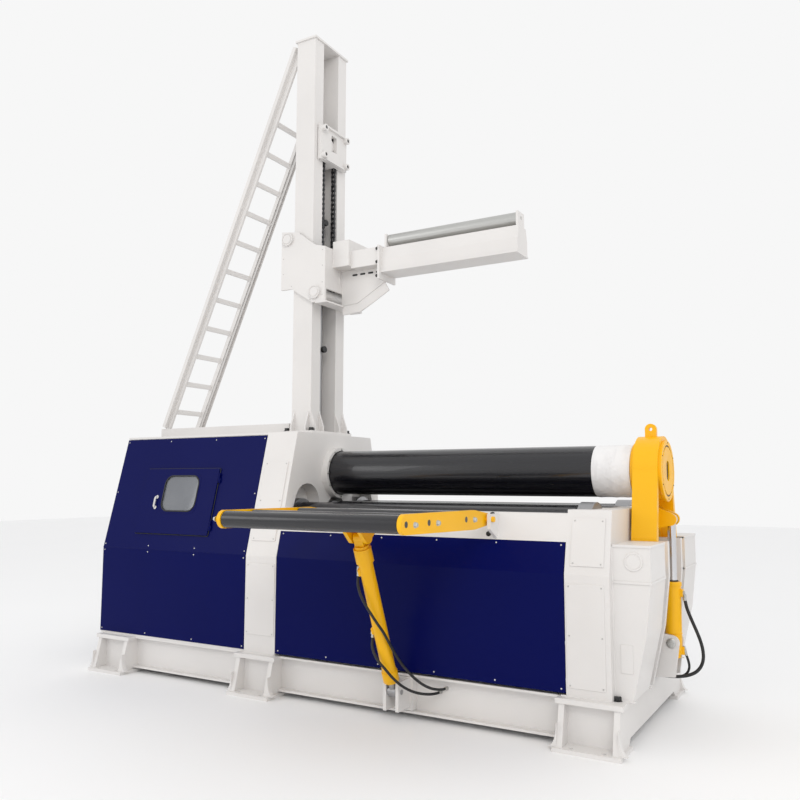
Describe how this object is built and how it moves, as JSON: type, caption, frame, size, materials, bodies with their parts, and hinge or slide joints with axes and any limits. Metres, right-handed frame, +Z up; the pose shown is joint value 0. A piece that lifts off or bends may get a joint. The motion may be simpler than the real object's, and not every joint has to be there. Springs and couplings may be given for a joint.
{
  "type": "plate rolling machine",
  "caption": "Four-roll plate bending machine with drop end, front roller table on a cylinder, and a mast with ladder carrying a lifting overhead support arm.",
  "frame": {"origin": "on the floor, at the centre of the anchor holes of the drive frame's cross beam, in the rolls' middle plane", "axes": "+X along the rolls towards the drop end, +Y towards the rear, +Z up"},
  "size_m": [5.2336, 3.1604, 6.1],
  "materials": {
    "white_paint": "satin",
    "navy_paint": "satin",
    "orange_paint": "satin",
    "black_coat": "gloss",
    "white_wrap": "gloss",
    "grey_steel": "machined",
    "chrome": "polished",
    "window": "clear",
    "chain_steel": "oiled"
  },
  "bodies": {
    "machine": {"cross_beams": "white_paint", "base_rails": "white_paint", "drive_frame": "white_paint", "end_frame": "white_paint", "housing": "white_paint", "housing_panels": "navy_paint", "housing_deck": "white_paint", "bed_panels": "navy_paint", "bed_beams": "white_paint", "mast": "white_paint", "mast_cylinder": "grey_steel", "ladder": "white_paint", "table_brackets": "white_paint", "table_foot": "white_paint", "drop_foot": "white_paint", "frame_covers": "white_paint", "roll_ring": "white_paint", "hinge_ears": "white_paint", "ladder_rungs": "white_paint", "door_hinges": "navy_paint"},
    "door": {"access_door": "navy_paint", "door_window": "window"},
    "top_roll": {"top_roll": "black_coat", "top_roll_neck": "grey_steel", "roll_sleeve": "white_wrap"},
    "bottom_bearings": {"bottom_blocks": "grey_steel"},
    "bottom_roll": {"bottom_roll": "black_coat"},
    "front_bearings": {"front_blocks": "grey_steel"},
    "front_roll": {"front_side_roll": "black_coat"},
    "rear_bearings": {"rear_blocks": "grey_steel"},
    "rear_roll": {"rear_side_roll": "black_coat"},
    "yoke": {"yoke": "orange_paint", "yoke_hub": "orange_paint", "bearing_cover": "orange_paint", "yoke_bearing": "grey_steel"},
    "drop_barrel": {"drop_barrel": "orange_paint"},
    "drop_rod": {"drop_rod": "chrome"},
    "table": {"table_frame": "orange_paint"},
    "table_roller_outer": {"table_roller_outer": "black_coat"},
    "table_roller_middle": {"table_roller_middle": "black_coat"},
    "table_roller_inner": {"table_roller_inner": "black_coat"},
    "table_rod": {"table_rod": "chrome"},
    "table_barrel": {"table_barrel": "orange_paint"},
    "carriage": {"carriage": "white_paint", "carriage_rollers": "grey_steel", "arm_bracket": "white_paint", "arm_beam": "white_paint"},
    "arm_roller": {"arm_roller": "grey_steel"},
    "crosshead": {"crosshead": "white_paint", "lift_chains": "chain_steel"}
  },
  "joints": [
    {"name": "door_hinge", "type": "hinge", "parent": "machine", "child": "door", "pos_m": [-0.636, -0.7923, 1.50343], "axis": [0, 0.2451, 0.9695], "range_deg": [0, 110]},
    {"name": "top_roll_spin", "type": "hinge", "parent": "machine", "child": "top_roll", "pos_m": [0, 0, 1.85], "axis": [1, 0, 0], "continuous": true},
    {"name": "bottom_roll_lift", "type": "slide", "parent": "machine", "child": "bottom_bearings", "axis": [0, 0, 1], "range_m": [0, 0.052]},
    {"name": "bottom_roll_spin", "type": "hinge", "parent": "bottom_bearings", "child": "bottom_roll", "pos_m": [0, 0, 1.42], "axis": [1, 0, 0], "continuous": true},
    {"name": "front_roll_lift", "type": "slide", "parent": "machine", "child": "front_bearings", "axis": [0, 0.342, 0.9397], "range_m": [0, 0.1399]},
    {"name": "front_roll_spin", "type": "hinge", "parent": "front_bearings", "child": "front_roll", "pos_m": [0, -0.49388, 1.43844], "axis": [1, 0, 0], "continuous": true},
    {"name": "rear_roll_lift", "type": "slide", "parent": "machine", "child": "rear_bearings", "axis": [0, -0.342, 0.9397], "range_m": [0, 0.1399]},
    {"name": "rear_roll_spin", "type": "hinge", "parent": "rear_bearings", "child": "rear_roll", "pos_m": [0, 0.49388, 1.43844], "axis": [1, 0, 0], "continuous": true},
    {"name": "yoke_hinge", "type": "hinge", "parent": "machine", "child": "yoke", "pos_m": [3.12, 0, 1.235], "axis": [0, 1, 0], "range_deg": [0, 80]},
    {"name": "drop_barrel_swing", "type": "hinge", "parent": "machine", "child": "drop_barrel", "pos_m": [3.2, 0, 0.6], "axis": [0, 1, 0], "range_deg": [0, 16.95]},
    {"name": "drop_rod_slide", "type": "slide", "parent": "drop_barrel", "child": "drop_rod", "axis": [0.0112, 0, 0.9999], "range_m": [-0.2711, 0]},
    {"name": "table_hinge", "type": "hinge", "parent": "machine", "child": "table", "pos_m": [1.385, -0.905, 1.497], "axis": [-1, 0, 0], "range_deg": [0, 35]},
    {"name": "table_roller_outer_spin", "type": "hinge", "parent": "table", "child": "table_roller_outer", "pos_m": [1.385, -2.075, 1.507], "axis": [1, 0, 0], "continuous": true},
    {"name": "table_roller_middle_spin", "type": "hinge", "parent": "table", "child": "table_roller_middle", "pos_m": [1.385, -1.785, 1.507], "axis": [1, 0, 0], "continuous": true},
    {"name": "table_roller_inner_spin", "type": "hinge", "parent": "table", "child": "table_roller_inner", "pos_m": [1.385, -1.245, 1.507], "axis": [1, 0, 0], "continuous": true},
    {"name": "table_rod_swing", "type": "hinge", "parent": "machine", "child": "table_rod", "pos_m": [1.385, -0.99, 0.225], "axis": [-1, 0, 0], "range_deg": [0, 5.94]},
    {"name": "table_barrel_slide", "type": "slide", "parent": "table_rod", "child": "table_barrel", "axis": [0, -0.3818, 0.9243], "range_m": [0, 0.3141]},
    {"name": "carriage_lift", "type": "slide", "parent": "machine", "child": "carriage", "axis": [0, 0, 1], "range_m": [-0.95, 0.9]},
    {"name": "arm_roller_spin", "type": "hinge", "parent": "carriage", "child": "arm_roller", "pos_m": [1.4, 0, 4.005], "axis": [1, 0, 0], "continuous": true},
    {"name": "crosshead_lift", "type": "slide", "parent": "machine", "child": "crosshead", "axis": [0, 0, 1], "range_m": [-0.475, 0.45]}
  ],
  "couplings": [
    {"joint": "drop_barrel_swing", "follows": "yoke_hinge", "ratio": 0.21128},
    {"joint": "drop_rod_slide", "follows": "yoke_hinge", "m_per_rad": -0.19379},
    {"joint": "table_rod_swing", "follows": "table_hinge", "ratio": 0.16841},
    {"joint": "table_barrel_slide", "follows": "table_hinge", "m_per_rad": 0.5133},
    {"joint": "crosshead_lift", "follows": "carriage_lift", "ratio": 0.5}
  ]
}
